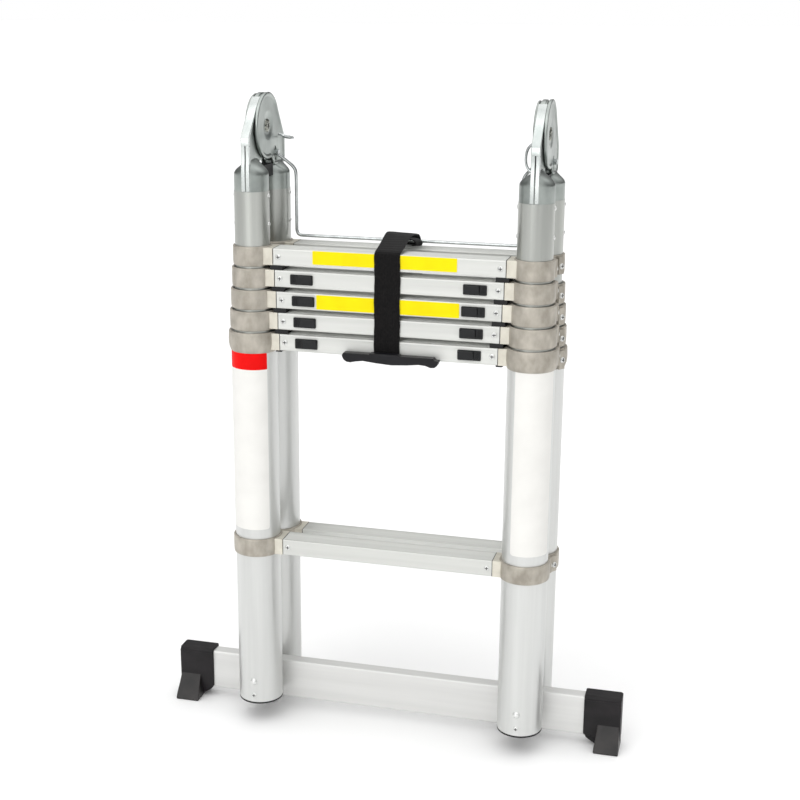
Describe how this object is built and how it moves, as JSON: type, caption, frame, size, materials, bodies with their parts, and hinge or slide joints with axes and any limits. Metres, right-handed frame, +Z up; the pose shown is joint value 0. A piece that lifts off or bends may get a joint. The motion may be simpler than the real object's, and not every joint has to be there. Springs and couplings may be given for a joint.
{
  "type": "extension ladder",
  "caption": "Folding telescopic ladder, closed: two halves of nested tubes with stacked treads, locking hinges at the top and a stabiliser bar with rubber boots at the foot.",
  "frame": {"origin": "on the floor, midway between the front and rear halves and between the left and right tubes", "axes": "+X across the ladder, +Z up along the tubes, -Y towards the half with the stabiliser bar"},
  "size_m": [0.672, 0.1608, 0.911],
  "materials": {
    "tube_aluminium": "satin anodised, fine vertical grain",
    "tread_aluminium": "extruded, fine ribs along the top",
    "collar_casting": "cast, warm grey, mottled satin",
    "hinge_steel": "bright zinc plated, pressed",
    "bail_wire": "bright plated wire",
    "fastener_steel": "bright plated",
    "button_plastic": "black, slightly satin",
    "stop_plastic": "black",
    "boot_rubber": "black, matt",
    "plug_rubber": "black, matt",
    "strap_webbing": "black woven webbing",
    "handle_plastic": "black, moulded"
  },
  "bodies": {
    "front_stage_1": {"front_tubes_1": "tube_aluminium", "front_collars_1": "collar_casting", "front_tread_1": "tread_aluminium", "front_hinge_shells": "hinge_steel", "hinge_lock_discs": "hinge_steel", "hinge_pivots": "fastener_steel", "hinge_stop_blocks": "stop_plastic", "carry_strap": "strap_webbing", "strap_handle": "handle_plastic"},
    "front_stage_2": {"front_tubes_2": "tube_aluminium", "front_collars_2": "collar_casting", "front_tread_2": "tread_aluminium"},
    "front_stage_3": {"front_tubes_3": "tube_aluminium", "front_collars_3": "collar_casting", "front_tread_3": "tread_aluminium"},
    "front_stage_4": {"front_tubes_4": "tube_aluminium", "front_collars_4": "collar_casting", "front_tread_4": "tread_aluminium"},
    "rear_stage_1": {"rear_tubes_1": "tube_aluminium", "rear_collars_1": "collar_casting", "rear_tread_1": "tread_aluminium", "rear_hinge_plates": "hinge_steel"},
    "rear_stage_2": {"rear_tubes_2": "tube_aluminium", "rear_collars_2": "collar_casting", "rear_tread_2": "tread_aluminium"},
    "rear_stage_3": {"rear_tubes_3": "tube_aluminium", "rear_collars_3": "collar_casting", "rear_tread_3": "tread_aluminium"},
    "rear_stage_4": {"rear_tubes_4": "tube_aluminium", "rear_collars_4": "collar_casting", "rear_tread_4": "tread_aluminium"},
    "front_base": {"front_tubes_5": "tube_aluminium", "front_collars_5": "collar_casting", "front_base_treads": "tread_aluminium", "stabiliser_bar": "tread_aluminium", "bar_boots": "boot_rubber", "bar_bolts": "fastener_steel", "front_end_plugs": "plug_rubber"},
    "rear_base": {"rear_tubes_5": "tube_aluminium", "rear_collars_5": "collar_casting", "rear_base_treads": "tread_aluminium", "rear_feet": "plug_rubber"},
    "release_bail": {"release_bail": "bail_wire"},
    "front_button_2_left": {"front_button_2_left": "button_plastic"},
    "front_button_2_right": {"front_button_2_right": "button_plastic"},
    "front_button_3_left": {"front_button_3_left": "button_plastic"},
    "front_button_3_right": {"front_button_3_right": "button_plastic"},
    "front_button_4_left": {"front_button_4_left": "button_plastic"},
    "front_button_4_right": {"front_button_4_right": "button_plastic"},
    "front_button_5_left": {"front_button_5_left": "button_plastic"},
    "front_button_5_right": {"front_button_5_right": "button_plastic"},
    "rear_button_2_left": {"rear_button_2_left": "button_plastic"},
    "rear_button_2_right": {"rear_button_2_right": "button_plastic"},
    "rear_button_3_left": {"rear_button_3_left": "button_plastic"},
    "rear_button_3_right": {"rear_button_3_right": "button_plastic"},
    "rear_button_4_left": {"rear_button_4_left": "button_plastic"},
    "rear_button_4_right": {"rear_button_4_right": "button_plastic"},
    "rear_button_5_left": {"rear_button_5_left": "button_plastic"},
    "rear_button_5_right": {"rear_button_5_right": "button_plastic"}
  },
  "joints": [
    {"name": "front_slide_4", "type": "slide", "parent": "front_base", "child": "front_stage_4", "axis": [0, 0, 1], "range_m": [0, 0.2719], "deforming": ["carry_strap"]},
    {"name": "front_slide_3", "type": "slide", "parent": "front_stage_4", "child": "front_stage_3", "axis": [0, 0, 1], "range_m": [0, 0.2719], "deforming": ["carry_strap"]},
    {"name": "front_slide_2", "type": "slide", "parent": "front_stage_3", "child": "front_stage_2", "axis": [0, 0, 1], "range_m": [0, 0.2719], "deforming": ["carry_strap"]},
    {"name": "front_slide_1", "type": "slide", "parent": "front_stage_2", "child": "front_stage_1", "axis": [0, 0, 1], "range_m": [0, 0.2719], "deforming": ["carry_strap"]},
    {"name": "hinge_fold", "type": "hinge", "parent": "front_stage_1", "child": "rear_stage_1", "pos_m": [0, 0, 0.866], "axis": [1, 0, 0], "range_deg": [0, 180], "deforming": ["carry_strap"]},
    {"name": "bail_pull", "type": "slide", "parent": "rear_stage_1", "child": "release_bail", "axis": [0, 0, -1], "range_m": [-0.004, 0.0055], "stiffness_N_per_m": 600},
    {"name": "rear_slide_2", "type": "slide", "parent": "rear_stage_1", "child": "rear_stage_2", "axis": [0, 0, -1], "range_m": [-0.0105, 0.2614], "deforming": ["carry_strap"]},
    {"name": "rear_slide_3", "type": "slide", "parent": "rear_stage_2", "child": "rear_stage_3", "axis": [0, 0, -1], "range_m": [0, 0.2719], "deforming": ["carry_strap"]},
    {"name": "rear_slide_4", "type": "slide", "parent": "rear_stage_3", "child": "rear_stage_4", "axis": [0, 0, -1], "range_m": [0, 0.2719], "deforming": ["carry_strap"]},
    {"name": "rear_slide_5", "type": "slide", "parent": "rear_stage_4", "child": "rear_base", "axis": [0, 0, -1], "range_m": [0, 0.2719], "deforming": ["carry_strap"]},
    {"name": "front_button_2_left_slide", "type": "slide", "parent": "front_stage_2", "child": "front_button_2_left", "axis": [1, 0, 0], "range_m": [0, 0.008], "stiffness_N_per_m": 400},
    {"name": "front_button_2_right_slide", "type": "slide", "parent": "front_stage_2", "child": "front_button_2_right", "axis": [-1, 0, 0], "range_m": [0, 0.008], "stiffness_N_per_m": 400},
    {"name": "front_button_3_left_slide", "type": "slide", "parent": "front_stage_3", "child": "front_button_3_left", "axis": [1, 0, 0], "range_m": [0, 0.008], "stiffness_N_per_m": 400},
    {"name": "front_button_3_right_slide", "type": "slide", "parent": "front_stage_3", "child": "front_button_3_right", "axis": [-1, 0, 0], "range_m": [0, 0.008], "stiffness_N_per_m": 400},
    {"name": "front_button_4_left_slide", "type": "slide", "parent": "front_stage_4", "child": "front_button_4_left", "axis": [1, 0, 0], "range_m": [0, 0.008], "stiffness_N_per_m": 400},
    {"name": "front_button_4_right_slide", "type": "slide", "parent": "front_stage_4", "child": "front_button_4_right", "axis": [-1, 0, 0], "range_m": [0, 0.008], "stiffness_N_per_m": 400},
    {"name": "front_button_5_left_slide", "type": "slide", "parent": "front_base", "child": "front_button_5_left", "axis": [1, 0, 0], "range_m": [0, 0.008], "stiffness_N_per_m": 400},
    {"name": "front_button_5_right_slide", "type": "slide", "parent": "front_base", "child": "front_button_5_right", "axis": [-1, 0, 0], "range_m": [0, 0.008], "stiffness_N_per_m": 400},
    {"name": "rear_button_2_left_slide", "type": "slide", "parent": "rear_stage_2", "child": "rear_button_2_left", "axis": [1, 0, 0], "range_m": [0, 0.008], "stiffness_N_per_m": 400},
    {"name": "rear_button_2_right_slide", "type": "slide", "parent": "rear_stage_2", "child": "rear_button_2_right", "axis": [-1, 0, 0], "range_m": [0, 0.008], "stiffness_N_per_m": 400},
    {"name": "rear_button_3_left_slide", "type": "slide", "parent": "rear_stage_3", "child": "rear_button_3_left", "axis": [1, 0, 0], "range_m": [0, 0.008], "stiffness_N_per_m": 400},
    {"name": "rear_button_3_right_slide", "type": "slide", "parent": "rear_stage_3", "child": "rear_button_3_right", "axis": [-1, 0, 0], "range_m": [0, 0.008], "stiffness_N_per_m": 400},
    {"name": "rear_button_4_left_slide", "type": "slide", "parent": "rear_stage_4", "child": "rear_button_4_left", "axis": [1, 0, 0], "range_m": [0, 0.008], "stiffness_N_per_m": 400},
    {"name": "rear_button_4_right_slide", "type": "slide", "parent": "rear_stage_4", "child": "rear_button_4_right", "axis": [-1, 0, 0], "range_m": [0, 0.008], "stiffness_N_per_m": 400},
    {"name": "rear_button_5_left_slide", "type": "slide", "parent": "rear_base", "child": "rear_button_5_left", "axis": [1, 0, 0], "range_m": [0, 0.008], "stiffness_N_per_m": 400},
    {"name": "rear_button_5_right_slide", "type": "slide", "parent": "rear_base", "child": "rear_button_5_right", "axis": [-1, 0, 0], "range_m": [0, 0.008], "stiffness_N_per_m": 400}
  ]
}
